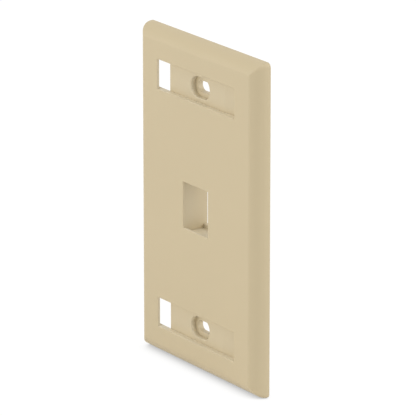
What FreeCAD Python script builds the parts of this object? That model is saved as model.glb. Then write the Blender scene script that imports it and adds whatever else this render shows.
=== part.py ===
"""Keystone faceplate: a one-gang wall plate with one keystone port and two label recesses.

One moulded piece. The frame's origin is the middle of the plate on the wall plane: +Z is up,
+X is to the right as one faces the plate, and the front looks along -Y. Heights in this file are
measured from the wall plane towards the room, so the front face lies at Y = -plate_depth.
"""
import FreeCAD, Part
import os
import Sketcher

# Driving dimensions in millimetres, each written once.
DRIVING_SIZES = {
    # plate outline and shell
    "plate_width": 69.85,
    "plate_height": 114.3,
    "plate_depth": 5.8,
    "face_wall": 2.2,
    "rim_wall": 2.2,
    "hollow_land": 0.3,
    "edge_overreach": 0.35,
    "bend_radius": 2.0,
    "mitre_radius_front": 0.45,
    "mitre_radius_back": 1.6,
    # box screws
    "screw_pitch": 83.34,
    "slot_length": 7.9,
    "slot_width": 3.9,
    "bore_length": 10.9,
    "bore_width": 7.2,
    "bore_depth": 1.8,
    "boss_wall": 1.4,
    # label recess round each screw
    "label_length": 45.0,
    "label_height": 10.2,
    "label_depth": 2.0,
    "label_floor": 2.0,
    "label_wall": 1.2,
    "ramp_length": 8.2,
    "ramp_drop": 0.7,
    "window_width": 4.8,
    "lip_thickness": 0.8,
    "lip_reach": 3.4,
    # keystone port and the well behind it
    "port_width": 14.4,
    "port_height": 16.0,
    "well_depth": 9.8,
    "well_below": 1.4,
    "well_above": 2.0,
    "catch_thickness": 1.4,
    "upper_catch": 1.0,
    "collar_wall": 1.5,
    # stiffening ribs between the well and the label trays
    "rib_thickness": 1.0,
    "rib_height": 2.0,
    # soft moulded edges
    "soft_edge": 0.35,
    "bore_edge": 0.25,
}

SHEET = "Sizes"
TOLERANCE = 1e-4


def size(name):
    """The expression text that reads one driving dimension."""
    return f"{SHEET}.{name}"


# Heights above the wall plane
FRONT = size("plate_depth")
FACE_BACK = f"({size('plate_depth')} - {size('face_wall')})"
INSIDE_FACE = f"({size('plate_depth')} - {size('face_wall')} / 2)"
LABEL_FLOOR = f"({size('plate_depth')} - {size('label_depth')})"
TRAY_BACK = f"({LABEL_FLOOR} - {size('label_floor')})"
LIP_BACK = f"({size('plate_depth')} - {size('lip_thickness')})"
WELL_BACK = f"({size('plate_depth')} - {size('well_depth')})"
CATCH_FRONT = f"({WELL_BACK} + {size('catch_thickness')})"
RIB_BACK = f"({FACE_BACK} - {size('rib_height')})"

# Places along Z and X
HALF_WIDTH = f"({size('plate_width')} / 2)"
HALF_HEIGHT = f"({size('plate_height')} / 2)"
EDGE_RADIUS = f"({size('plate_depth')} + {size('edge_overreach')})"
SCREW_Z = f"({size('screw_pitch')} / 2)"
LABEL_RIGHT = f"({size('label_length')} / 2)"
LABEL_TOP = f"({SCREW_Z} + {size('label_height')} / 2)"
LABEL_BOTTOM = f"({SCREW_Z} - {size('label_height')} / 2)"
WINDOW_RIGHT = f"(-{LABEL_RIGHT} + {size('window_width')})"
PORT_SIDE = f"({size('port_width')} / 2)"
PORT_TOP = f"({size('port_height')} / 2)"
WELL_TOP = f"({PORT_TOP} + {size('well_above')})"
WELL_BOTTOM = f"(-{PORT_TOP} - {size('well_below')})"


def make_sheet(doc):
    sheet = doc.addObject("Spreadsheet::Sheet", SHEET)
    for row, (name, number) in enumerate(DRIVING_SIZES.items(), start=1):
        sheet.set(f"A{row}", name)
        sheet.set(f"B{row}", str(number))
        sheet.setAlias(f"B{row}", name)
    doc.recompute()
    return sheet


def origin_plane(body, role):
    return next(plane for plane in body.Origin.OriginFeatures if plane.Role == role)


def new_sketch(body, name, role="XZ_Plane", height="0"):
    """A sketch on one of the body's planes, moved along the plane's normal by an expression."""
    sketch = body.newObject("Sketcher::SketchObject", name)
    sketch.AttachmentSupport = [(origin_plane(body, role), "")]
    sketch.MapMode = "FlatFace"
    sketch.setExpression(".AttachmentOffset.Base.z", height)
    return sketch


def number(sketch, expression):
    """What an expression is worth now, for placing geometry before its constraints hold it."""
    result = sketch.evalExpression(expression)
    return float(getattr(result, "Value", result))


def bind(sketch, constraint, name, expression):
    index = sketch.addConstraint(constraint)
    sketch.renameConstraint(index, name)
    sketch.setExpression(f"Constraints.{name}", expression)


def join_ends(sketch, first, count):
    """Joins each line to the next round a closed loop of `count` elements."""
    for step in range(count):
        here, following = first + step, first + (step + 1) % count
        sketch.addConstraint(Sketcher.Constraint("Coincident", here, 2, following, 1))


def add_polygon(sketch, prefix, corners):
    """A closed outline through corners given as pairs of expressions for the plane's two axes."""
    points = [FreeCAD.Vector(number(sketch, x), number(sketch, y), 0) for x, y in corners]
    first = sketch.GeometryCount
    following = points[1:] + points[:1]
    sketch.addGeometry([Part.LineSegment(a, b) for a, b in zip(points, following)], False)
    join_ends(sketch, first, len(corners))
    for step, (x, y) in enumerate(corners):
        line = first + step
        at_x, at_y = points[step].x, points[step].y
        bind(sketch, Sketcher.Constraint("DistanceX", line, 1, at_x), f"{prefix}_x{step}", x)
        bind(sketch, Sketcher.Constraint("DistanceY", line, 1, at_y), f"{prefix}_y{step}", y)


def add_rectangle(sketch, prefix, left, right, bottom, top):
    add_polygon(sketch, prefix, [(left, bottom), (right, bottom), (right, top), (left, top)])


def add_obround(sketch, prefix, centre_y, length, width):
    """A level slot outline about x = 0: two straight sides and two half-round ends."""
    half_width = number(sketch, width) / 2
    reach = number(sketch, length) / 2 - half_width
    middle = number(sketch, centre_y)
    left = FreeCAD.Vector(-reach, middle, 0)
    right = FreeCAD.Vector(reach, middle, 0)
    up = FreeCAD.Vector(0, half_width, 0)
    quarter = 1.5707963267948966
    normal = FreeCAD.Vector(0, 0, 1)
    first = sketch.GeometryCount
    lower, right_end, upper, left_end = range(first, first + 4)
    sketch.addGeometry([
        Part.LineSegment(left - up, right - up),
        Part.ArcOfCircle(Part.Circle(right, normal, half_width), -quarter, quarter),
        Part.LineSegment(right + up, left + up),
        Part.ArcOfCircle(Part.Circle(left, normal, half_width), quarter, 3 * quarter),
    ], False)
    for here, following in ((lower, right_end), (right_end, upper), (upper, left_end), (left_end, lower)):
        sketch.addConstraint(Sketcher.Constraint("Tangent", here, 2, following, 1))
    sketch.addConstraint(Sketcher.Constraint("Horizontal", lower))
    sketch.addConstraint(Sketcher.Constraint("Equal", right_end, left_end))
    bind(sketch, Sketcher.Constraint("Radius", right_end, half_width), f"{prefix}_radius", f"{width} / 2")
    for arc, sign, place in ((right_end, "", reach), (left_end, "-", -reach)):
        side = "right" if place > 0 else "left"
        bind(sketch, Sketcher.Constraint("DistanceX", arc, 3, place), f"{prefix}_{side}",
             f"{sign}({length} - {width}) / 2")
    bind(sketch, Sketcher.Constraint("DistanceY", right_end, 3, middle), f"{prefix}_middle", centre_y)


def short_arc(centre, start, end):
    """The shorter arc about centre between two points, and which of its ends is the start."""
    circle = Part.Circle(centre, FreeCAD.Vector(0, 0, 1), centre.distanceToPoint(start))
    ends = sorted((circle.parameter(start), circle.parameter(end)))
    if ends[1] - ends[0] > 3.2:
        ends = [ends[1], ends[0] + 6.283185307179586]
    arc = Part.ArcOfCircle(circle, *ends)
    return arc, (1, 2) if arc.StartPoint.isEqual(start, TOLERANCE) else (2, 1)


def add_round_waste(sketch, prefix, side, along_x):
    """The waste outside one outer edge: a square corner less the edge's rounded profile.

    The profile leaves the front face in a small bend and goes on as a large arc, whose centre lies
    in the wall plane, so the arc meets that plane square. The arc's radius is a little more than
    the plate's depth, and the bend takes off what would stand over the face. side is the expression
    for the plate's outer edge. along_x says that the sketch's first axis runs across the plate;
    otherwise it runs through it, from the room at the negative end to the wall plane at 0.
    """
    edge = number(sketch, side)
    inward = -1 if edge > 0 else 1
    large = number(sketch, EDGE_RADIUS)
    small = number(sketch, size("bend_radius"))
    front_at = -number(sketch, FRONT)

    def place(across, through):
        return FreeCAD.Vector(across, through, 0) if along_x else FreeCAD.Vector(through, across, 0)

    bend_depth = front_at + small
    bend_reach = ((large - small) ** 2 - bend_depth ** 2) ** 0.5
    large_across = edge + inward * large
    bend_across = large_across - inward * bend_reach
    turn = large / (large - small)
    corner = place(edge, front_at)
    on_front = place(bend_across, front_at)
    on_side = place(edge, 0)
    large_centre = place(large_across, 0)
    bend_centre = place(bend_across, bend_depth)
    joint = large_centre + (bend_centre - large_centre) * turn
    bend_shape, (bend_front, bend_joint) = short_arc(bend_centre, on_front, joint)
    large_shape, (large_joint, large_side) = short_arc(large_centre, joint, on_side)
    first = sketch.GeometryCount
    face_line, side_line, bend, arc = range(first, first + 4)
    sketch.addGeometry([Part.LineSegment(on_front, corner), Part.LineSegment(corner, on_side),
                        bend_shape, large_shape], False)
    across, through = ("DistanceX", "DistanceY") if along_x else ("DistanceY", "DistanceX")
    level, upright = ("Horizontal", "Vertical") if along_x else ("Vertical", "Horizontal")
    wall_axis = -1 if along_x else -2
    for constraint in (
        Sketcher.Constraint("Coincident", face_line, 2, side_line, 1),
        Sketcher.Constraint("Coincident", face_line, 1, bend, bend_front),
        Sketcher.Constraint("Coincident", side_line, 2, arc, large_side),
        Sketcher.Constraint(level, face_line),
        Sketcher.Constraint(upright, side_line),
        Sketcher.Constraint(upright, bend, 3, face_line, 1),
        Sketcher.Constraint("Tangent", bend, bend_joint, arc, large_joint),
        Sketcher.Constraint("PointOnObject", arc, 3, wall_axis),
        Sketcher.Constraint("PointOnObject", side_line, 2, wall_axis),
    ):
        sketch.addConstraint(constraint)
    bind(sketch, Sketcher.Constraint("Radius", arc, large), f"{prefix}_radius", EDGE_RADIUS)
    bind(sketch, Sketcher.Constraint("Radius", bend, small), f"{prefix}_bend", size("bend_radius"))
    bind(sketch, Sketcher.Constraint(across, face_line, 2, edge), f"{prefix}_side", side)
    bind(sketch, Sketcher.Constraint(through, face_line, 2, front_at), f"{prefix}_front", f"-{FRONT}")


def pad(body, name, sketch, length, symmetric=False):
    """Adds material from the sketch towards the room."""
    feature = body.newObject("PartDesign::Pad", name)
    feature.Profile = sketch
    feature.SideType = "Symmetric" if symmetric else "One side"
    feature.setExpression("Length", length)
    return feature


def pocket(body, name, sketch, length, towards_room=False, symmetric=False):
    """Removes material from the sketch towards the wall, or towards the room."""
    feature = body.newObject("PartDesign::Pocket", name)
    feature.Profile = sketch
    feature.SideType = "Symmetric" if symmetric else "One side"
    feature.Reversed = towards_room
    feature.setExpression("Length", length)
    return feature


def edge_names(shape, wanted):
    return [f"Edge{index}" for index, edge in enumerate(shape.Edges, start=1) if wanted(edge)]


def at_height(edge, height):
    """Whether the whole edge lies in the plane at one height above the wall."""
    box = edge.BoundBox
    return abs(box.YMin + height) < TOLERANCE and abs(box.YMax + height) < TOLERANCE


def round_edges(body, name, base, edges, radius):
    feature = body.newObject("PartDesign::Fillet", name)
    feature.Base = (base, edges)
    feature.setExpression("Radius", radius)
    return feature


def outer_form(doc):
    """The plate's solid form: a block whose four rounded front edges meet in mitres."""
    body = doc.addObject("PartDesign::Body", "outer_form")
    outline = new_sketch(body, "outline")
    add_rectangle(outline, "plate", f"-{HALF_WIDTH}", HALF_WIDTH, f"-{HALF_HEIGHT}", HALF_HEIGHT)
    pad(body, "block", outline, FRONT)
    long_edges = new_sketch(body, "long_edge_waste", "XY_Plane")
    for side, prefix in ((HALF_WIDTH, "right"), (f"-{HALF_WIDTH}", "left")):
        add_round_waste(long_edges, prefix, side, along_x=True)
    pocket(body, "long_edge_rounds", long_edges, f"2 * {size('plate_height')}", symmetric=True)
    short_edges = new_sketch(body, "short_edge_waste", "YZ_Plane")
    for side, prefix in ((HALF_HEIGHT, "top"), (f"-{HALF_HEIGHT}", "bottom")):
        add_round_waste(short_edges, prefix, side, along_x=False)
    pocket(body, "short_edge_rounds", short_edges, f"2 * {size('plate_width')}", symmetric=True)
    doc.recompute()
    return body


def soften_mitres(doc, body, sheet):
    """Rounds the four mitres: crisp in the bend, opening to the outline's corner radius at the wall."""
    crisp, full = sheet.mitre_radius_front, sheet.mitre_radius_back
    rounded = []
    for index, edge in enumerate(body.Shape.Edges, start=1):
        box = edge.BoundBox
        if min(box.XLength, box.YLength, box.ZLength) > TOLERANCE:
            ends = [full if abs(vertex.Point.y) < TOLERANCE else crisp for vertex in edge.Vertexes]
            rounded.append((index, *ends))
    soft = doc.addObject("Part::Fillet", "soft_mitres")
    soft.Base = body
    soft.Edges = rounded
    doc.recompute()
    return soft


def hollow_back(body):
    """The moulded hollow behind the face, with a rounded floor that follows the outer edge."""
    sketch = new_sketch(body, "hollow_outline")
    side, end = f"({HALF_WIDTH} - {size('rim_wall')})", f"({HALF_HEIGHT} - {size('rim_wall')})"
    add_rectangle(sketch, "hollow", f"-{side}", side, f"-{end}", end)
    hollow = pocket(body, "hollow", sketch, FACE_BACK, towards_room=True)
    body.Document.recompute()
    floor_at = body.evalExpression(FACE_BACK)
    inside_x = body.evalExpression(side)
    inside_z = body.evalExpression(end)

    def wanted(edge):
        box = edge.BoundBox
        on_floor = at_height(edge, float(floor_at))
        upright = box.YLength > 1.0 and box.XLength < TOLERANCE and box.ZLength < TOLERANCE
        in_corner = (abs(abs(box.XMin) - float(inside_x)) < TOLERANCE
                     and abs(abs(box.ZMin) - float(inside_z)) < TOLERANCE)
        return on_floor or (upright and in_corner)

    names = edge_names(hollow.Shape, wanted)
    return round_edges(body, "hollow_rounds", hollow, names, f"{FACE_BACK} - {size('hollow_land')}")


def label_tray(body):
    """What stands behind one label recess: the tray's floor and side walls."""
    sketch = new_sketch(body, "tray_outline", height=TRAY_BACK)
    wall = size("label_wall")
    add_rectangle(sketch, "tray", f"-{LABEL_RIGHT} - {wall}", f"{LABEL_RIGHT} + {wall}",
                  f"{LABEL_BOTTOM} - {wall}", f"{LABEL_TOP} + {wall}")
    return pad(body, "label_tray", sketch, f"{INSIDE_FACE} - {TRAY_BACK}")


def screw_boss(body):
    """The boss round one screw slot, which seats on the wall."""
    sketch = new_sketch(body, "boss_outline")
    wall = size("boss_wall")
    add_obround(sketch, "boss", SCREW_Z, f"({size('bore_length')} + 2 * {wall})",
                f"({size('bore_width')} + 2 * {wall})")
    return pad(body, "screw_boss", sketch, INSIDE_FACE)


def rib_pair(body):
    """Two upright ribs from the well's side walls to the label tray."""
    sketch = new_sketch(body, "rib_outlines", height=RIB_BACK)
    inner, outer = PORT_SIDE, f"({PORT_SIDE} + {size('rib_thickness')})"
    for prefix, left, right in (("right", inner, outer), ("left", f"-{outer}", f"-{inner}")):
        add_rectangle(sketch, prefix, left, right, PORT_TOP, SCREW_Z)
    return pad(body, "ribs", sketch, f"{INSIDE_FACE} - {RIB_BACK}")


def label_recess(body):
    """The shallow recess in the face that takes a label and its cover."""
    sketch = new_sketch(body, "recess_outline", height=FRONT)
    add_rectangle(sketch, "recess", f"-{LABEL_RIGHT}", LABEL_RIGHT, LABEL_BOTTOM, LABEL_TOP)
    return pocket(body, "label_recess", sketch, size("label_depth"))


def recess_ramp(body):
    """The floor's slope down to the right end, under the tab of the label cover."""
    sketch = new_sketch(body, "ramp_section", "XY_Plane", SCREW_Z)
    start = f"{LABEL_RIGHT} - {size('ramp_length')}"
    add_polygon(sketch, "ramp", [
        (start, f"-{LABEL_FLOOR}"),
        (LABEL_RIGHT, f"-{LABEL_FLOOR}"),
        (LABEL_RIGHT, f"-{LABEL_FLOOR} + {size('ramp_drop')}"),
    ])
    return pocket(body, "recess_ramp", sketch, size("label_height"), symmetric=True)


def label_window(body):
    """The window at the recess's left end, open behind a thin lip on its left side.

    The tray's side walls stop short of the window, so only the face's own wall frames it.
    """
    left = f"-{LABEL_RIGHT} - {size('lip_reach')}"
    behind = new_sketch(body, "relief_outline", height=FACE_BACK)
    wall = size("label_wall")
    add_rectangle(behind, "relief", left, WINDOW_RIGHT, f"{LABEL_BOTTOM} - {wall}", f"{LABEL_TOP} + {wall}")
    relief = pocket(body, "wall_relief", behind, FRONT)
    window = new_sketch(body, "window_outline", height=LIP_BACK)
    add_rectangle(window, "window", left, WINDOW_RIGHT, LABEL_BOTTOM, LABEL_TOP)
    return [relief, pocket(body, "window", window, FRONT)]


def counterbore(body):
    sketch = new_sketch(body, "bore_outline", height=LABEL_FLOOR)
    add_obround(sketch, "bore", SCREW_Z, size("bore_length"), size("bore_width"))
    return pocket(body, "counterbore", sketch, size("bore_depth"))


def screw_slot(body):
    sketch = new_sketch(body, "slot_outline", height=LABEL_FLOOR)
    add_obround(sketch, "slot", SCREW_Z, size("slot_length"), size("slot_width"))
    return pocket(body, "screw_slot", sketch, FRONT)


def lower_copies(body, originals):
    """The lower label recess with its screw slot, as the upper one seen in the plate's middle plane."""
    mirrored = body.newObject("PartDesign::Mirrored", "lower_end")
    mirrored.Originals = originals
    mirrored.MirrorPlane = (origin_plane(body, "XY_Plane"), [""])
    body.Tip = mirrored
    return mirrored


def well_collar(body):
    """The box round the keystone well, which stands out behind the wall plane."""
    sketch = new_sketch(body, "collar_outline", height=WELL_BACK)
    wall = size("collar_wall")
    add_rectangle(sketch, "collar", f"-{PORT_SIDE} - {wall}", f"{PORT_SIDE} + {wall}",
                  f"{WELL_BOTTOM} - {wall}", f"{WELL_TOP} + {wall}")
    return pad(body, "well_collar", sketch, f"{INSIDE_FACE} - {WELL_BACK}")


def keystone_well(body):
    """The port and the well: a thin front lip, a taller middle, and a catch behind it at each end."""
    opening = new_sketch(body, "port_outline", height=FRONT)
    add_rectangle(opening, "port", f"-{PORT_SIDE}", PORT_SIDE, f"-{PORT_TOP}", PORT_TOP)
    pocket(body, "port", opening, f"{size('well_depth')} + {size('plate_depth')}")
    middle = new_sketch(body, "well_outline", height=LIP_BACK)
    add_rectangle(middle, "well", f"-{PORT_SIDE}", PORT_SIDE, WELL_BOTTOM, WELL_TOP)
    pocket(body, "well", middle, f"{LIP_BACK} - {CATCH_FRONT}")
    rear = new_sketch(body, "rear_outline", height=CATCH_FRONT)
    add_rectangle(rear, "rear", f"-{PORT_SIDE}", PORT_SIDE, f"-{PORT_TOP}",
                  f"{WELL_TOP} - {size('upper_catch')}")
    return pocket(body, "rear_mouth", rear, size("plate_depth"))


def soft_front_edges(body, base, sheet):
    """The small mould radius on the rims of the counterbores, then of the port and the recesses."""
    body.Document.recompute()
    floor_at = sheet.plate_depth - sheet.label_depth
    reach = sheet.bore_length / 2 + TOLERANCE

    def on_bore_rim(edge):
        box = edge.BoundBox
        return at_height(edge, floor_at) and max(abs(box.XMin), abs(box.XMax)) < reach

    bored = round_edges(body, "bore_rims", base, edge_names(base.Shape, on_bore_rim), size("bore_edge"))
    body.Document.recompute()
    edge_radius = sheet.plate_depth + sheet.edge_overreach
    flat_x = sheet.plate_width / 2 - edge_radius
    flat_z = sheet.plate_height / 2 - edge_radius

    def on_face_rim(edge):
        box = edge.BoundBox
        inner = max(abs(box.XMin), abs(box.XMax)) < flat_x and max(abs(box.ZMin), abs(box.ZMax)) < flat_z
        return at_height(edge, sheet.plate_depth) and inner

    names = edge_names(bored.Shape, on_face_rim)
    return round_edges(body, "soft_rims", bored, names, size("soft_edge"))


def faceplate(doc, form, sheet):
    body = doc.addObject("PartDesign::Body", "faceplate")
    body.Label = "faceplate"
    body.BaseFeature = form
    doc.recompute()
    hollow_back(body)
    originals = [
        label_tray(body), screw_boss(body), rib_pair(body), label_recess(body), recess_ramp(body),
        *label_window(body), counterbore(body), screw_slot(body),
    ]
    doc.recompute()
    lower_copies(body, originals)
    doc.recompute()
    well_collar(body)
    rear_mouth = keystone_well(body)
    soft_front_edges(body, rear_mouth, sheet)
    body.Placement = FreeCAD.Placement()
    doc.recompute()
    return body


def check_document(doc):
    for item in doc.Objects:
        if {"Invalid", "Error"} & set(item.State):
            raise RuntimeError(f"{item.Name} did not recompute: {item.State}")


def write_part(body):
    shape = body.Shape
    if shape.isNull() or not shape.isValid():
        raise RuntimeError(f"{body.Label} has no valid shape")
    if len(shape.Solids) != 1:
        raise RuntimeError(f"{body.Label} came out as {len(shape.Solids)} solids")
    os.makedirs("parts", exist_ok=True)
    shape.exportStep(os.path.join("parts", f"{body.Label}.step"))
    print(body.Label, "volume", round(shape.Volume, 1), "faces", len(shape.Faces))


def main():
    doc = FreeCAD.newDocument("keystone_faceplate")
    sheet = make_sheet(doc)
    form = soften_mitres(doc, outer_form(doc), sheet)
    plate = faceplate(doc, form, sheet)
    check_document(doc)
    write_part(plate)


main()
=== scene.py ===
"""Looks of the keystone faceplate: its moulded finish, ejector marks, floor, lamps and camera.

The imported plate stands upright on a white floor. Z is up, X is to the right as one faces the plate,
and the front looks along -Y. Lengths are in metres.
"""

import math

import bpy
import numpy as np
from bpy.props import FloatProperty, FloatVectorProperty, IntProperty, PointerProperty
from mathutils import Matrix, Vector


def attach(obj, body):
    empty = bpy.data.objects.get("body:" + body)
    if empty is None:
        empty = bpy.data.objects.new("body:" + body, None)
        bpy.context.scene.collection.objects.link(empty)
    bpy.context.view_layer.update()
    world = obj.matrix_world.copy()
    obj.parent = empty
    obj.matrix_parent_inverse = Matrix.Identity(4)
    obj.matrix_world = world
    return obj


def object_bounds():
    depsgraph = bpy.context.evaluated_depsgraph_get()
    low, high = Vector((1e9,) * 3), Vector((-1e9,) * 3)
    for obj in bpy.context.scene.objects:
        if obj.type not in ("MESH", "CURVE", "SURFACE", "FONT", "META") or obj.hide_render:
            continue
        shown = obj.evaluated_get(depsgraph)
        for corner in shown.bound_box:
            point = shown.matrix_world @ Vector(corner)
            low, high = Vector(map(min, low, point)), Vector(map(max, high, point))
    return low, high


bl_info = {
    "name": "Keystone Faceplate",
    "version": (1, 0, 0),
    "blender": (4, 5, 0),
    "location": "3D View > Sidebar > Faceplate",
    "description": "Finishes, lights and frames a moulded keystone faceplate",
    "category": "Object",
}

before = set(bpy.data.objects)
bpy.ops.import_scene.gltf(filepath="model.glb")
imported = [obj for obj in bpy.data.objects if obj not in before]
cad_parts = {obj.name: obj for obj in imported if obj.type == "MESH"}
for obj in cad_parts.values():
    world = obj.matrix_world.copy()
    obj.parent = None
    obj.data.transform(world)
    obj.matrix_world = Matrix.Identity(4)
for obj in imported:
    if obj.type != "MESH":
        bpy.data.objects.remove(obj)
CAD_LOW, CAD_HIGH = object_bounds()
FRONT_Y = CAD_LOW.y
FLOOR_Z = CAD_LOW.z
FACE_WALL = 0.0022
HOLLOW_FLOOR_Y = FRONT_Y + FACE_WALL
SCREW_Z = 0.04167

# Zones that hold the label recesses, the counterbores and the port, each as its half width, the
# height of its middle above and below the plate's middle, and its half height
LABEL_ZONE = (0.0230, SCREW_Z, 0.0055)
BORE_ZONE = (0.0056, SCREW_Z, 0.0038)
PORT_ZONE = (0.0073, 0.0, 0.0102)
# Depth behind the front, just past the floor of a label recess and of a counterbore
LABEL_REACH = 0.0029
BORE_REACH = 0.0039
# Share of the paler colour, which is painted light, on a recess's walls and on its shallow floor
WALL_SHARE = 0.75
FLOOR_SHARE = 0.15
# What of that a counterbore and the slot behind it take, and the port's side walls at the front and
# at the rear. The other places in the zones take it whole.
BORE_SHARE = 0.70
SLOT_SHARE = 0.30
SIDE_WALL_SHARE = 0.52
REAR_WALL_SHARE = 0.20
# A surface turns from level with the face to upright over this range of its normal's part along Y,
# and counts as sunk and as deep over these ranges of depth behind the front
UPRIGHT_RANGE = (0.9, 0.4)
SUNK_RANGE = (0.0003, 0.0015)
DEEP_RANGE = (0.0030, 0.0080)
# A surface looks along an axis where its normal's part along it is more than this
LOOKS_ALONG = 0.5

# The back's finish begins this far inside the outline, and sets in over this depth
RIM_INSET = 0.0016
BACK_FADE = 0.0002
# Share of the grain that the back lacks, and how much less rough it is
BACK_GRAIN_LOSS = 0.6
BACK_SMOOTHER = 0.08
# How much the slow tone and the grain change the roughness
TONE_ROUGHNESS = 0.04
GRAIN_ROUGHNESS = 0.05
# Width of one grain of the face, and of one patch of slow tone
GRAIN_SIZE = 0.00016
DRIFT_SIZE = 0.03
# The finer layer of the grain: how many times finer it is, and its share of the height
FINER_GRAIN = 3.0
FINER_SHARE = 0.33
PLASTIC_IOR = 1.46

# Outline of one ejector mark, a dish with a raised ring, from its middle outwards and then down
# into the plastic, each point as shares of the mark's radius and height
MARK_PROFILE = np.array([
    (0.0, 0.3), (0.80, 0.3), (0.86, 0.55), (0.93, 1.0), (0.98, 0.85), (1.0, 0.4),
    (1.0, -2.0), (0.9, -2.0), (0.0, -2.0)])
MARK_COLUMNS = (-0.021, 0.021)
MARK_ROWS = (-0.027, 0.0, 0.027)

# Each lamp's name, the setting that holds its power, and its azimuth and elevation in degrees
LAMPS = [
    ("key_lamp", "key_power", -27.0, 10.0),
    ("top_lamp", "top_power", 0.0, 76.0),
    ("back_lamp", "back_power", 125.0, 25.0),
]
# Power to which the floor's cover is raised, which draws the painted contact shadow close to the foot
CONTACT_FALL = 2.5
COVER_SAMPLES = 16
WHITE = (1.0, 1.0, 1.0, 1.0)

PHOTO_PIXELS = 416
SENSOR_MM = 36.0
CLIP_NEAR, CLIP_FAR = 0.02, 20.0
NODE_SPACING = 190


class FaceplateFinish(bpy.types.PropertyGroup):
    """The ivory plastic, with a paler colour painted as light in its hollows and painted shade in its
    creases.
    """

    colour: FloatVectorProperty(
        name="Plastic colour", description="Base colour of the ivory plastic",
        subtype="COLOR", size=3, min=0.0, max=1.0, default=(0.586, 0.484, 0.305))
    # Painted light: a paler colour laid in the recesses, the counterbores and the port, in place of
    # light that reaches into them.
    painted_light_colour: FloatVectorProperty(
        name="Sheltered colour", description="Paler colour deep inside the recesses and the port",
        subtype="COLOR", size=3, min=0.0, max=1.0, default=(0.765, 0.690, 0.528))
    # Painted shade where two faces meet, laid into the plastic's colour.
    painted_crease_shade: FloatProperty(
        name="Crease shade", description="How much darker the plastic is where two faces meet",
        subtype="FACTOR", min=0.0, max=1.0, default=0.22)
    crease_reach: FloatProperty(
        name="Crease reach", description="How far the shade reaches from where two faces meet",
        subtype="DISTANCE", unit="LENGTH", min=0.0001, max=0.005, default=0.0004)
    colour_drift: FloatProperty(
        name="Colour drift", description="How far the colour drifts across the moulding",
        subtype="FACTOR", min=0.0, max=0.2, default=0.02)
    roughness: FloatProperty(
        name="Roughness", description="Mean roughness of the moulded face",
        subtype="FACTOR", min=0.0, max=1.0, default=0.48)
    grain_size: FloatProperty(
        name="Grain size", description="Width of one grain of the mould's satin texture",
        subtype="DISTANCE", unit="LENGTH", min=0.00002, max=0.002, default=GRAIN_SIZE)
    grain_height: FloatProperty(
        name="Grain height", description="Height of the mould's satin texture",
        subtype="DISTANCE", unit="LENGTH", min=0.0, max=0.0001, default=0.000004)


class FaceplateMarks(bpy.types.PropertyGroup):
    """The round witness marks that ejector pins leave on the back."""

    diameter: FloatProperty(
        name="Pin diameter", description="Diameter of one ejector mark",
        subtype="DISTANCE", unit="LENGTH", min=0.001, max=0.01, default=0.0035)
    height: FloatProperty(
        name="Pad height", description="How far a mark stands off the hollow's floor",
        subtype="DISTANCE", unit="LENGTH", min=0.0, max=0.0005, default=0.00009)
    rounds: IntProperty(
        name="Steps round", description="Number of steps round one mark",
        subtype="UNSIGNED", min=12, max=96, default=40)


class FaceplateStage(bpy.types.PropertyGroup):
    """Floor, surroundings, lamps and camera."""

    floor_size: FloatProperty(
        name="Floor size", description="Width of the floor",
        subtype="DISTANCE", unit="LENGTH", min=1.0, max=20.0, default=8.0)
    floor_reflectance: FloatProperty(
        name="Floor reflectance",
        description="Share of the light that the floor throws back on the plate",
        subtype="FACTOR", min=0.0, max=1.0, default=0.95)
    floor_shading: FloatProperty(
        name="Floor shading", description="How much of the lamps' light and shade the floor shows",
        subtype="FACTOR", min=0.0, max=1.0, default=0.08)
    floor_white: FloatProperty(
        name="Floor white", description="Even white that the floor shows besides the lamps' light",
        subtype="FACTOR", min=0.0, max=1.0, default=0.95)
    # Painted shadow on the floor round the plate's foot, in place of the shade that the lamps cast.
    painted_contact_shade: FloatProperty(
        name="Contact shade", description="Depth of the soft shade round the plate's foot",
        subtype="FACTOR", min=0.0, max=1.0, default=0.60)
    contact_reach: FloatProperty(
        name="Contact reach", description="How far the soft shade reaches from the plate's foot",
        subtype="DISTANCE", unit="LENGTH", min=0.001, max=0.1, default=0.0055)
    surroundings: FloatProperty(
        name="Surroundings", description="Strength of the even white light from all round",
        subtype="FACTOR", min=0.0, max=2.0, default=0.49)
    key_power: FloatProperty(
        name="Key power", description="Power of the large soft lamp in front, to the left",
        subtype="POWER", unit="POWER", min=0.0, max=200.0, default=24.0)
    top_power: FloatProperty(
        name="Top power", description="Power of the large soft lamp almost straight above",
        subtype="POWER", unit="POWER", min=0.0, max=200.0, default=13.2)
    back_power: FloatProperty(
        name="Back power", description="Power of the large soft lamp behind, to the right",
        subtype="POWER", unit="POWER", min=0.0, max=200.0, default=22.6)
    lamp_distance: FloatProperty(
        name="Lamp distance", description="Distance from each lamp to the plate",
        subtype="DISTANCE", unit="LENGTH", min=0.3, max=5.0, default=2.1)
    lamp_size: FloatProperty(
        name="Lamp size", description="Width of each square lamp",
        subtype="DISTANCE", unit="LENGTH", min=0.1, max=3.0, default=2.0)
    azimuth: FloatProperty(
        name="Camera azimuth", description="Angle round the plate from straight in front",
        subtype="ANGLE", unit="ROTATION", default=math.radians(55.75))
    elevation: FloatProperty(
        name="Camera elevation", description="Angle of the camera above the horizon",
        subtype="ANGLE", unit="ROTATION", default=math.radians(16.98))
    distance: FloatProperty(
        name="Camera distance", description="Distance from the camera to the plate",
        subtype="DISTANCE", unit="LENGTH", min=0.2, max=5.0, default=1.360)
    focal_pixels: FloatProperty(
        name="Focal length in pixels", description="Focal length in pixels of the square picture",
        subtype="PIXEL", min=100.0, max=20000.0, default=4103.5)
    aim_right: FloatProperty(
        name="Aim right", description="How far right of the front face's middle the camera aims",
        subtype="DISTANCE", unit="LENGTH", default=0.00424)
    aim_up: FloatProperty(
        name="Aim up", description="How far above the front face's middle the camera aims",
        subtype="DISTANCE", unit="LENGTH", default=0.00070)


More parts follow.
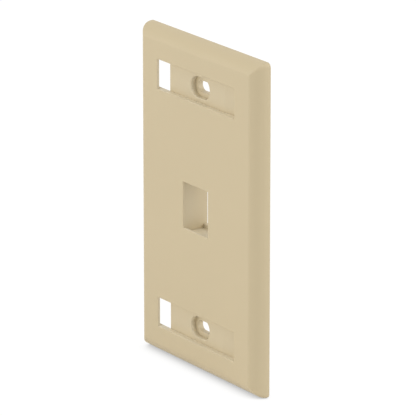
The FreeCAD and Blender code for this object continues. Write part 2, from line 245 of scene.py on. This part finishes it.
class Wiring:
    """Places nodes in one tree and links them, from left to right."""

    def __init__(self, tree):
        self.tree = tree
        self.column = 0

    def add(self, kind, inputs=None, **settings):
        """One node with these settings. Each input is a value, or a socket that it is linked to."""
        node = self.tree.nodes.new(kind)
        node.location = (self.column * NODE_SPACING, 0)
        self.column += 1
        for name, value in settings.items():
            setattr(node, name, value)
        for name, value in (inputs or {}).items():
            if isinstance(value, bpy.types.NodeSocket):
                self.tree.links.new(value, node.inputs[name])
            else:
                node.inputs[name].default_value = value
        return node

    def maths(self, operation, first, second=0.0, third=0.0, clamp=False):
        """Result of one sum. MULTIPLY_ADD is the first times the second, plus the third."""
        node = self.add("ShaderNodeMath", {0: first, 1: second, 2: third}, operation=operation)
        node.use_clamp = clamp
        return node.outputs[0]

    def product(self, first, *others):
        """All the values multiplied together."""
        for other in others:
            first = self.maths("MULTIPLY", first, other)
        return first

    def ramp(self, value, start, end):
        """0 where the value is at the start of the range, 1 at its end, and straight between."""
        return self.add("ShaderNodeMapRange", {
            "Value": value, "From Min": start, "From Max": end}).outputs[0]


def emptied(owner):
    """Wiring for the tree of a material or world, without the nodes that it came with."""
    owner.use_nodes = True
    owner.node_tree.nodes.clear()
    return Wiring(owner.node_tree)


def new_group(name, inputs, outputs):
    """A shader node group. Inputs are given as (name, kind, default), and number outputs by name."""
    group = bpy.data.node_groups.new(name, "ShaderNodeTree")
    for socket_name, kind, default in inputs:
        socket = group.interface.new_socket(name=socket_name, in_out="INPUT", socket_type=kind)
        if default is not None:
            socket.default_value = default
    for socket_name in outputs:
        group.interface.new_socket(
            name=socket_name, in_out="OUTPUT", socket_type="NodeSocketFloat")
    return group


def moulded_grain_group():
    """Satin mould texture: fine rounded grains plus a slow drift, as a height and a tone.

    Height is two layers of smooth noise, one at the grain size and one at a third of it, added
    with the finer at a third of the strength. Tone is slow noise over centimetres, from -1 to 1.
    """
    group = new_group("moulded_grain", [
        ("Place", "NodeSocketVector", None),
        ("Grain Size", "NodeSocketFloat", GRAIN_SIZE),
        ("Drift Size", "NodeSocketFloat", DRIFT_SIZE),
    ], ["Height", "Tone"])
    wiring = Wiring(group)
    source = wiring.add("NodeGroupInput").outputs
    per_grain = wiring.maths("DIVIDE", 1.0, source["Grain Size"])
    coarse = wiring.add("ShaderNodeTexNoise", {
        "Vector": source["Place"], "Scale": per_grain, "Detail": 1.0, "Roughness": 0.5})
    fine = wiring.add("ShaderNodeTexNoise", {
        "Vector": source["Place"], "Scale": wiring.product(per_grain, FINER_GRAIN),
        "Detail": 0.0})
    drift = wiring.add("ShaderNodeTexNoise", {
        "Vector": source["Place"], "Scale": wiring.maths("DIVIDE", 1.0, source["Drift Size"]),
        "Detail": 2.0, "Roughness": 0.45})
    wiring.add("NodeGroupOutput", {
        "Height": wiring.maths(
            "MULTIPLY_ADD", fine.outputs["Fac"], FINER_SHARE, coarse.outputs["Fac"]),
        "Tone": wiring.maths("MULTIPLY_ADD", drift.outputs["Fac"], 2.0, -1.0)})
    return group


def near_cover_group():
    """Share of a surface's close surroundings that other surfaces cover.

    Cover is 1 less the share of directions in which nothing lies within reach. The plastic uses it
    for painted shade where faces meet, and the floor for a painted contact shadow.
    """
    group = new_group("near_cover", [("Reach", "NodeSocketFloat", None)], ["Cover"])
    wiring = Wiring(group)
    reach = wiring.add("NodeGroupInput").outputs["Reach"]
    opening = wiring.add("ShaderNodeAmbientOcclusion", {"Distance": reach}, samples=COVER_SAMPLES)
    wiring.add("NodeGroupOutput", {
        "Cover": wiring.maths("SUBTRACT", 1.0, opening.outputs["AO"])})
    return group


def shared_group(name, build):
    """The node group of this name, which is built once."""
    return bpy.data.node_groups.get(name) or build()


def near_cover(wiring, reach):
    """The near_cover group in a material, with its own reach."""
    group = shared_group("near_cover", near_cover_group)
    return wiring.add("ShaderNodeGroup", {"Reach": reach}, node_tree=group).outputs["Cover"]


def seen_mask(wiring):
    """1 for what the camera sees, straight, in a gloss or through glass, and 0 for other light."""
    paths = wiring.add("ShaderNodeLightPath").outputs
    direct_or_gloss = wiring.maths("ADD", paths["Is Camera Ray"], paths["Is Glossy Ray"])
    return wiring.maths("ADD", direct_or_gloss, paths["Is Transmission Ray"], clamp=True)


def zone_mask(wiring, across, upward, zone):
    """1 inside a zone's half width and its half height about the middle height, and 0 elsewhere."""
    half_width, middle, half_height = zone
    in_width = wiring.maths("LESS_THAN", across, half_width)
    from_middle = wiring.maths("ABSOLUTE", wiring.maths("SUBTRACT", upward, middle))
    return wiring.product(in_width, wiring.maths("LESS_THAN", from_middle, half_height))


def back_mask(wiring, across, upward, y):
    """1 in the hollow back, which the mould's core shaped, and 0 on the face and the outer edges.

    It is the product of three masks: within the rim's inset in width, the same in height, and
    behind the face's inner side.
    """
    in_width = wiring.maths("LESS_THAN", across, CAD_HIGH.x - RIM_INSET)
    in_height = wiring.maths("LESS_THAN", upward, CAD_HIGH.z - RIM_INSET)
    behind = wiring.ramp(y, HOLLOW_FLOOR_Y - BACK_FADE, HOLLOW_FLOOR_Y)
    return wiring.product(in_width, in_height, behind)


def painted_light_masks(wiring, across, upward, y, normal):
    """How much of the paler colour each place has, and where the walls of the zones are.

    The paler colour is painted light, which lifts the shade in the recesses and the port. The
    amount is the larger of the deep mask and the sum of the wall share on upright surfaces and the
    floor share on sunk ones. It is multiplied by the zones' own shares: 1 in the label recesses and
    the port, the bore's share in the counterbores and the slot's share behind them. On the port's
    side walls the share falls from front to rear. Outside the zones, and on what faces the wall,
    there is none. The second mask is the zones' shares on upright surfaces alone.
    """
    def in_front_of(depth):
        return wiring.maths("LESS_THAN", y, FRONT_Y + depth)

    def blend(mask, where_0, where_1):
        return wiring.maths("MULTIPLY_ADD", mask, where_1 - where_0, where_0)

    upright = wiring.ramp(wiring.maths("ABSOLUTE", normal["Y"]), *UPRIGHT_RANGE)
    sunk = wiring.ramp(y, *(FRONT_Y + depth for depth in SUNK_RANGE))
    deep = wiring.ramp(y, *(FRONT_Y + depth for depth in DEEP_RANGE))
    shallow = wiring.maths("MULTIPLY_ADD", upright, WALL_SHARE, wiring.product(sunk, FLOOR_SHARE))
    amount = wiring.maths("MAXIMUM", shallow, deep)

    label = wiring.product(
        zone_mask(wiring, across, upward, LABEL_ZONE), in_front_of(LABEL_REACH))
    bore = wiring.product(
        zone_mask(wiring, across, upward, BORE_ZONE),
        blend(in_front_of(BORE_REACH), SLOT_SHARE, BORE_SHARE))
    side = wiring.maths("GREATER_THAN", wiring.maths("ABSOLUTE", normal["X"]), LOOKS_ALONG)
    side_share = blend(deep, SIDE_WALL_SHARE, REAR_WALL_SHARE)
    port_share = wiring.maths(
        "MULTIPLY_ADD", side, wiring.maths("SUBTRACT", side_share, 1.0), 1.0)
    zones = wiring.maths(
        "MULTIPLY_ADD", zone_mask(wiring, across, upward, PORT_ZONE), port_share,
        wiring.maths("MAXIMUM", label, bore))
    from_room = wiring.maths("LESS_THAN", normal["Y"], LOOKS_ALONG)
    return wiring.product(zones, from_room, amount), wiring.product(zones, upright)


def plastic_material(finish):
    """Ivory plastic: satin grain on the face, and smoother in the hollow back and on inner walls.

    The colour is the plastic's, mixed by its mask with a paler colour that is painted light in the
    hollows, and then scaled by 1 less the painted crease shade times the near cover, plus the colour
    drift times the slow tone. The roughness is its mean with a little of the tone and the grain, and
    a little less on the back.
    grain, and the one of the zones' walls.
    """
    material = bpy.data.materials.new("ivory_moulded_plastic")
    wiring = emptied(material)
    coordinates = wiring.add("ShaderNodeTexCoord").outputs
    texture = wiring.add("ShaderNodeGroup", {
        "Place": coordinates["Object"], "Grain Size": finish.grain_size,
        "Drift Size": DRIFT_SIZE,
    }, node_tree=shared_group("moulded_grain", moulded_grain_group)).outputs
    place = wiring.add("ShaderNodeSeparateXYZ", {"Vector": coordinates["Object"]}).outputs
    normal = wiring.add("ShaderNodeSeparateXYZ", {"Vector": coordinates["Normal"]}).outputs
    across = wiring.maths("ABSOLUTE", place["X"])
    upward = wiring.maths("ABSOLUTE", place["Z"])
    back = back_mask(wiring, across, upward, place["Y"])
    painted_light_mask, inner_walls = painted_light_masks(wiring, across, upward, place["Y"], normal)

    # Painted light: the paler colour lifts the shade in the recesses, the counterbores and the port.
    mixed = wiring.add("ShaderNodeMix", {
        "Factor": painted_light_mask, "A": (*finish.colour, 1.0), "B": (*finish.painted_light_colour, 1.0),
    }, data_type="RGBA").outputs["Result"]
    # Painted shade: the colour is darker where two faces meet, by the near cover.
    painted_crease_factor = wiring.maths(
        "MULTIPLY_ADD", near_cover(wiring, finish.crease_reach), -finish.painted_crease_shade, 1.0)
    shade = wiring.maths("MULTIPLY_ADD", texture["Tone"], finish.colour_drift, painted_crease_factor)
    colour = wiring.add(
        "ShaderNodeVectorMath", {0: mixed, "Scale": shade}, operation="SCALE").outputs[0]

    toned = wiring.maths("MULTIPLY_ADD", texture["Tone"], TONE_ROUGHNESS, finish.roughness)
    grained = wiring.maths("MULTIPLY_ADD", texture["Height"], GRAIN_ROUGHNESS, toned)
    roughness = wiring.maths("MULTIPLY_ADD", back, -BACK_SMOOTHER, grained)

    grainless = wiring.maths("MAXIMUM", wiring.product(back, BACK_GRAIN_LOSS), inner_walls)
    height = wiring.product(texture["Height"], wiring.maths("SUBTRACT", 1.0, grainless))
    bump = wiring.add("ShaderNodeBump", {
        "Height": height, "Strength": 1.0, "Distance": finish.grain_height}).outputs[0]

    shader = wiring.add("ShaderNodeBsdfPrincipled", {
        "Base Color": colour, "Roughness": roughness, "IOR": PLASTIC_IOR, "Normal": bump})
    wiring.add("ShaderNodeOutputMaterial", {"Surface": shader.outputs[0]})
    return material


def turned_mesh(name, profile, steps, centres, base_y):
    """Closed turned solids about lines along Y, one at each centre, in one mesh.

    The profile is an array of radii r and heights h. Point (i, j) of a solid is
    (x + r_i cos a_j, base_y + h_i, z + r_i sin a_j), where a_j goes once round. The first and last
    radii are 0, so each end closes in one pole.
    """
    ring_r, ring_h = profile[1:-1].T
    angles = np.linspace(0.0, 2.0 * np.pi, steps, endpoint=False)
    x = ring_r[:, None] * np.cos(angles)
    z = ring_r[:, None] * np.sin(angles)
    y = np.broadcast_to(ring_h[:, None], x.shape)
    rings = np.stack([x, y, z], axis=-1).reshape(-1, 3)
    poles = np.array([[0.0, h, 0.0] for h in (profile[0, 1], profile[-1, 1])])
    solid = np.concatenate([rings, poles])
    offsets = np.array([[centre_x, base_y, centre_z] for centre_x, centre_z in centres])
    points = (solid + offsets[:, None]).reshape(-1, 3)

    here = np.arange(steps)
    following = (here + 1) % steps
    rows = np.arange(len(ring_r) - 1)[:, None] * steps
    quads = np.stack([rows + here, rows + following, rows + steps + following,
                      rows + steps + here], axis=-1).reshape(-1, 4)
    last_row = len(rings) - steps
    head = np.stack([np.full(steps, len(rings)), following, here], axis=-1)
    tail = np.stack([np.full(steps, len(rings) + 1), last_row + here, last_row + following],
                    axis=-1)
    firsts = np.arange(len(centres))[:, None, None] * len(solid)
    faces = [face for part in (quads, head, tail)
             for face in (part + firsts).reshape(-1, part.shape[1]).tolist()]

    mesh = bpy.data.meshes.new(name)
    mesh.from_pydata(points.tolist(), [], faces)
    mesh.update()
    mesh.shade_smooth()
    return mesh


def add_object(name, data):
    """An object of this mesh, lamp or camera at the origin of the scene."""
    thing = bpy.data.objects.new(name, data)
    bpy.context.scene.collection.objects.link(thing)
    return thing


def direction(azimuth, elevation):
    """Unit vector from the plate towards a place at these angles, both in radians."""
    level = math.cos(elevation)
    return Vector((math.sin(azimuth) * level, -math.cos(azimuth) * level, math.sin(elevation)))


def look_along(thing, line):
    """Turns a lamp or camera to look along the line, with its top side up."""
    thing.rotation_euler = line.to_track_quat("-Z", "Y").to_euler()


class OBJECT_OT_faceplate_finish(bpy.types.Operator):
    """Gives the plate its ivory moulded plastic"""

    bl_idname = "object.faceplate_finish"
    bl_label = "Finish Plate"

    def execute(self, context):
        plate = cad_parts["faceplate"]
        if not plate.material_slots:
            raise RuntimeError("the plate has no material slot")
        material = plastic_material(context.scene.faceplate_finish)
        for slot in plate.material_slots:
            slot.material = material
        return {"FINISHED"}


class OBJECT_OT_faceplate_marks(bpy.types.Operator):
    """Adds the round ejector marks on the floor of the hollow back"""

    bl_idname = "object.faceplate_marks"
    bl_label = "Add Ejector Marks"

    def execute(self, context):
        marks = context.scene.faceplate_marks
        profile = MARK_PROFILE * (marks.diameter / 2.0, marks.height)
        centres = [(x, z) for x in MARK_COLUMNS for z in MARK_ROWS]
        mesh = turned_mesh("ejector_marks", profile, marks.rounds, centres, HOLLOW_FLOOR_Y)
        mesh.materials.append(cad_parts["faceplate"].material_slots[0].material)
        piece = add_object("ejector_marks", mesh)
        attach(piece, "root")
        return {"FINISHED"}


class OBJECT_OT_faceplate_stage(bpy.types.Operator):
    """Sets the white floor, the surroundings, the lamps and the camera"""

    bl_idname = "object.faceplate_stage"
    bl_label = "Set Stage"

    def execute(self, context):
        settings = context.scene.faceplate_stage
        self.floor(settings)
        self.surroundings(context.scene, settings)
        self.lamps(settings)
        self.camera(context.scene, settings)
        context.scene.view_settings.view_transform = "Standard"
        return {"FINISHED"}

    def floor(self, settings):
        """A white floor that throws light back on the plate and shows a painted contact shadow.

        To the camera it is an even white, less the painted contact shadow, which is the contact shade
        times the near cover raised to a power, plus a little of the lamps' light. To the plate it is
        plain and matt.
        """
        corners = np.array([[-1, -1], [1, -1], [1, 1], [-1, 1]]) * settings.floor_size / 2.0
        points = np.column_stack([corners, np.full(4, FLOOR_Z)])
        mesh = bpy.data.meshes.new("floor")
        mesh.from_pydata(points.tolist(), [], [(0, 1, 2, 3)])
        material = bpy.data.materials.new("white_floor")
        wiring = emptied(material)
        seen = seen_mask(wiring)
        # Painted shadow: the floor's even white is dimmed round the plate's foot by its near cover.
        shade = wiring.maths("POWER", near_cover(wiring, settings.contact_reach), CONTACT_FALL)
        lifted = wiring.maths("MULTIPLY_ADD", shade, -settings.painted_contact_shade * settings.floor_white,
                              settings.floor_white)
        matt = wiring.add("ShaderNodeBsdfDiffuse", {"Color": wiring.maths(
            "MULTIPLY_ADD", seen, settings.floor_shading - settings.floor_reflectance,
            settings.floor_reflectance)})
        white = wiring.add("ShaderNodeEmission", {
            "Color": WHITE, "Strength": wiring.product(seen, lifted)})
        both = wiring.add("ShaderNodeAddShader", {0: matt.outputs[0], 1: white.outputs[0]})
        wiring.add("ShaderNodeOutputMaterial", {"Surface": both.outputs[0]})
        mesh.materials.append(material)
        floor = add_object("floor", mesh)

    def surroundings(self, scene, settings):
        """Even white light from all round, which the camera sees as full white."""
        world = bpy.data.worlds.new("surroundings")
        wiring = emptied(world)
        strength = wiring.maths(
            "MULTIPLY_ADD", seen_mask(wiring), 1.0 - settings.surroundings, settings.surroundings)
        background = wiring.add("ShaderNodeBackground", {"Color": WHITE, "Strength": strength})
        wiring.add("ShaderNodeOutputWorld", {"Surface": background.outputs[0]})
        scene.world = world

    def lamps(self, settings):
        """Large square lamps that look at the plate's middle and that the camera doesn't see."""
        for name, power, azimuth, elevation in LAMPS:
            data = bpy.data.lights.new(name, "AREA")
            data.shape = "SQUARE"
            data.size = settings.lamp_size
            data.energy = getattr(settings, power)
            lamp = add_object(name, data)
            towards = direction(math.radians(azimuth), math.radians(elevation))
            lamp.location = towards * settings.lamp_distance
            look_along(lamp, -towards)
            lamp.visible_camera = False

    def camera(self, scene, settings):
        """Aims at a point beside the front face's middle, from the set angles and distance."""
        back = direction(settings.azimuth, settings.elevation)
        right = Vector((math.cos(settings.azimuth), math.sin(settings.azimuth), 0.0))
        up = back.cross(right)
        aim = Vector((0.0, FRONT_Y, 0.0)) + right * settings.aim_right + up * settings.aim_up
        data = bpy.data.cameras.new("camera")
        data.sensor_width = SENSOR_MM
        data.lens = settings.focal_pixels / PHOTO_PIXELS * SENSOR_MM
        data.clip_start, data.clip_end = CLIP_NEAR, CLIP_FAR
        camera = add_object("camera", data)
        camera.location = aim + back * settings.distance
        look_along(camera, -back)
        scene.camera = camera


class VIEW3D_PT_faceplate(bpy.types.Panel):
    """The faceplate's settings and steps."""

    bl_label = "Keystone Faceplate"
    bl_idname = "VIEW3D_PT_faceplate"
    bl_space_type = "VIEW_3D"
    bl_region_type = "UI"
    bl_category = "Faceplate"

    def draw(self, context):
        for group, operator in STEPS:
            box = self.layout.box()
            settings = getattr(context.scene, group)
            for name in settings.__annotations__:
                box.prop(settings, name)
            box.operator(operator)


GROUPS = {
    "faceplate_finish": FaceplateFinish,
    "faceplate_marks": FaceplateMarks,
    "faceplate_stage": FaceplateStage,
}
STEPS = [
    ("faceplate_finish", OBJECT_OT_faceplate_finish.bl_idname),
    ("faceplate_marks", OBJECT_OT_faceplate_marks.bl_idname),
    ("faceplate_stage", OBJECT_OT_faceplate_stage.bl_idname),
]
CLASSES = [
    *GROUPS.values(), OBJECT_OT_faceplate_finish, OBJECT_OT_faceplate_marks,
    OBJECT_OT_faceplate_stage, VIEW3D_PT_faceplate,
]


def register():
    for cls in CLASSES:
        bpy.utils.register_class(cls)
    for name, group in GROUPS.items():
        setattr(bpy.types.Scene, name, PointerProperty(type=group))


def unregister():
    for name in GROUPS:
        delattr(bpy.types.Scene, name)
    for cls in reversed(CLASSES):
        bpy.utils.unregister_class(cls)


def main():
    register()
    bpy.ops.object.faceplate_finish()
    bpy.ops.object.faceplate_marks()
    bpy.ops.object.faceplate_stage()
    bpy.context.view_layer.update()


if __name__ == "__main__":
    main()
